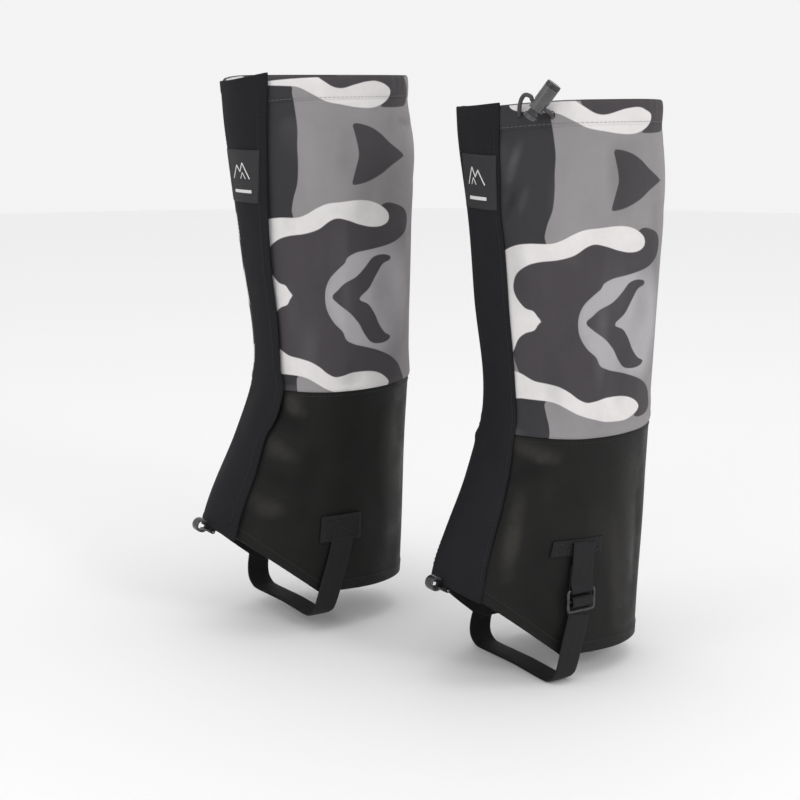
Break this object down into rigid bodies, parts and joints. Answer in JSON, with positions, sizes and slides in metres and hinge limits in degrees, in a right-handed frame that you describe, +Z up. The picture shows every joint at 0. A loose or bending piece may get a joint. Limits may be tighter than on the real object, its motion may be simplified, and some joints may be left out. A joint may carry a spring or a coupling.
{
  "type": "pair of hiking gaiters",
  "caption": "Knee-high hiking gaiters for a left and a right leg: printed upper, coated lower panel, front storm flap, drawcord cuff with cord lock, lace hook and buckled instep strap.",
  "frame": {"origin": "midway between the two legs, level with the underside of the left instep strap", "axes": "+Z up, -Y towards the toes, +X the wearer's left"},
  "size_m": [0.3561, 0.2943, 0.4473],
  "materials": {
    "printed_cloth": "plain weave printed in white and greys",
    "coated_cloth": "coated weave, low sheen",
    "flap_cloth": "plain weave, matt",
    "hook_and_loop": "hook and loop pile",
    "label_cloth": "woven label",
    "webbing": "ribbed webbing",
    "cord": "braided elastic",
    "grey_plastic": "moulded, semi-gloss",
    "black_plastic": "moulded, satin",
    "dark_metal": "blackened steel, worn",
    "spring_steel": "drawn wire"
  },
  "bodies": {
    "worn_pair": {"left_upper_shell": "printed_cloth", "left_lower_shell": "coated_cloth", "left_cuff_casing": "printed_cloth", "left_hook_tape": "hook_and_loop", "left_drawcord": "cord", "left_buckle_patch": "webbing", "left_buckle_tab": "webbing", "left_instep_strap": "webbing", "left_strap_patch": "webbing", "right_upper_shell": "printed_cloth", "right_lower_shell": "coated_cloth", "right_cuff_casing": "printed_cloth", "right_hook_tape": "hook_and_loop", "right_drawcord": "cord", "right_buckle_patch": "webbing", "right_buckle_tab": "webbing", "right_instep_strap": "webbing", "right_strap_patch": "webbing"},
    "left_flap_body": {"left_front_flap": "flap_cloth", "left_loop_tape": "hook_and_loop", "left_woven_label": "label_cloth", "left_hook_tab": "webbing"},
    "left_cord_lock_body": {"left_cord_lock_barrel": "grey_plastic", "left_cord_lock_spring": "spring_steel"},
    "left_lock_plunger_body": {"left_cord_lock_plunger": "black_plastic"},
    "left_lace_hook_body": {"left_lace_hook": "dark_metal"},
    "left_buckle_body": {"left_strap_buckle": "black_plastic", "left_strap_loop": "webbing"},
    "right_flap_body": {"right_front_flap": "flap_cloth", "right_loop_tape": "hook_and_loop", "right_woven_label": "label_cloth", "right_hook_tab": "webbing"},
    "right_cord_lock_body": {"right_cord_lock_barrel": "grey_plastic", "right_cord_lock_spring": "spring_steel"},
    "right_lock_plunger_body": {"right_cord_lock_plunger": "black_plastic"},
    "right_lace_hook_body": {"right_lace_hook": "dark_metal"},
    "right_buckle_body": {"right_strap_buckle": "black_plastic", "right_strap_loop": "webbing"}
  },
  "joints": [
    {"name": "left_flap_peel", "type": "hinge", "parent": "worn_pair", "child": "left_flap_body", "pos_m": [0.12202, -0.04786, 0.079], "axis": [-0.0063, 0.0594, 0.9982], "range_deg": [0, 80]},
    {"name": "left_cord_lock_swing", "type": "hinge", "parent": "worn_pair", "child": "left_cord_lock_body", "pos_m": [0.15353, -0.01428, 0.43], "axis": [-0.5942, -0.5491, 0.5878], "range_deg": [-8, 25]},
    {"name": "left_cord_lock_press", "type": "slide", "parent": "left_cord_lock_body", "child": "left_lock_plunger_body", "axis": [0.4317, 0.3989, 0.809], "range_m": [0, 0.0036], "stiffness_N_per_m": 800, "springref_m": -0.002},
    {"name": "left_lace_hook_swing", "type": "hinge", "parent": "left_flap_body", "child": "left_lace_hook_body", "pos_m": [0.099, -0.055, 0.0735], "axis": [1, 0, 0], "range_deg": [-4, 60]},
    {"name": "left_buckle_lift", "type": "hinge", "parent": "worn_pair", "child": "left_buckle_body", "pos_m": [0.1602, 0.028, 0.0745], "axis": [0, -1, 0], "range_deg": [0, 35]},
    {"name": "right_flap_peel", "type": "hinge", "parent": "worn_pair", "child": "right_flap_body", "pos_m": [-0.12202, -0.14286, 0.091], "axis": [-0.0063, -0.0594, -0.9982], "range_deg": [0, 80]},
    {"name": "right_cord_lock_swing", "type": "hinge", "parent": "worn_pair", "child": "right_cord_lock_body", "pos_m": [-0.17799, -0.06457, 0.425], "axis": [-0.1648, 0.792, -0.5878], "range_deg": [-8, 14]},
    {"name": "right_cord_lock_press", "type": "slide", "parent": "right_cord_lock_body", "child": "right_lock_plunger_body", "axis": [-0.1197, 0.5755, 0.809], "range_m": [0, 0.0036], "stiffness_N_per_m": 800, "springref_m": -0.002},
    {"name": "right_lace_hook_swing", "type": "hinge", "parent": "right_flap_body", "child": "right_lace_hook_body", "pos_m": [-0.099, -0.15, 0.0855], "axis": [1, 0, 0], "range_deg": [-4, 60]},
    {"name": "right_buckle_lift", "type": "hinge", "parent": "worn_pair", "child": "right_buckle_body", "pos_m": [-0.1602, -0.067, 0.0865], "axis": [0, 1, 0], "range_deg": [0, 35]}
  ]
}
